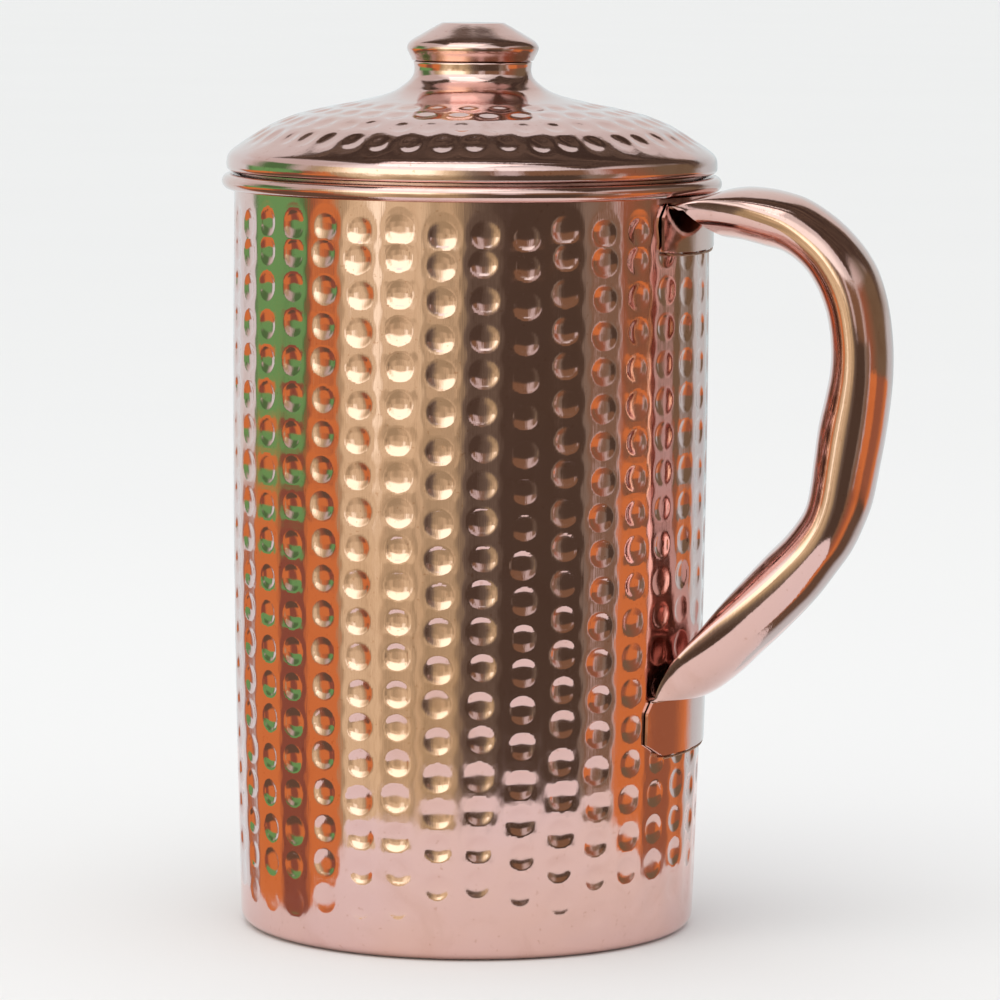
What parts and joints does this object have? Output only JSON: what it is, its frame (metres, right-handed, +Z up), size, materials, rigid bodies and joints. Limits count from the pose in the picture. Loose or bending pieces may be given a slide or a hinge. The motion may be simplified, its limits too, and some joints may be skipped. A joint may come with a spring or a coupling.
{
  "type": "copper water jug",
  "caption": "Tall hammered copper water jug with a rolled rim, a hollow sheet handle and a domed lift-off lid with a round knob.",
  "frame": {"origin": "centre of the flat underside of the base, on the jug's axis", "axes": "+Z up along the jug's axis, +X from the axis towards the handle, +Y across the handle's plane; the part is mirror-symmetric about XZ"},
  "size_m": [0.1668, 0.122, 0.2213],
  "materials": {
    "body_shell": "polished hammered copper",
    "handle": "polished copper",
    "upper_braze": "dull braze",
    "lower_braze": "dull braze",
    "lid_shell": "polished copper, hammered crown",
    "knob_cap": "polished copper",
    "lid_collar": "satin copper",
    "collar_solder": "dull solder",
    "cap_solder": "dull solder"
  },
  "bodies": {
    "jug": {"body_shell": "body_shell", "handle": "handle", "upper_braze": "upper_braze", "lower_braze": "lower_braze"},
    "lid": {"lid_shell": "lid_shell", "knob_cap": "knob_cap", "lid_collar": "lid_collar", "collar_solder": "collar_solder", "cap_solder": "cap_solder"}
  },
  "joints": [
    {"name": "lid_lift", "type": "slide", "parent": "jug", "child": "lid", "axis": [0, 0, 1], "range_m": [0, 0.06]}
  ]
}
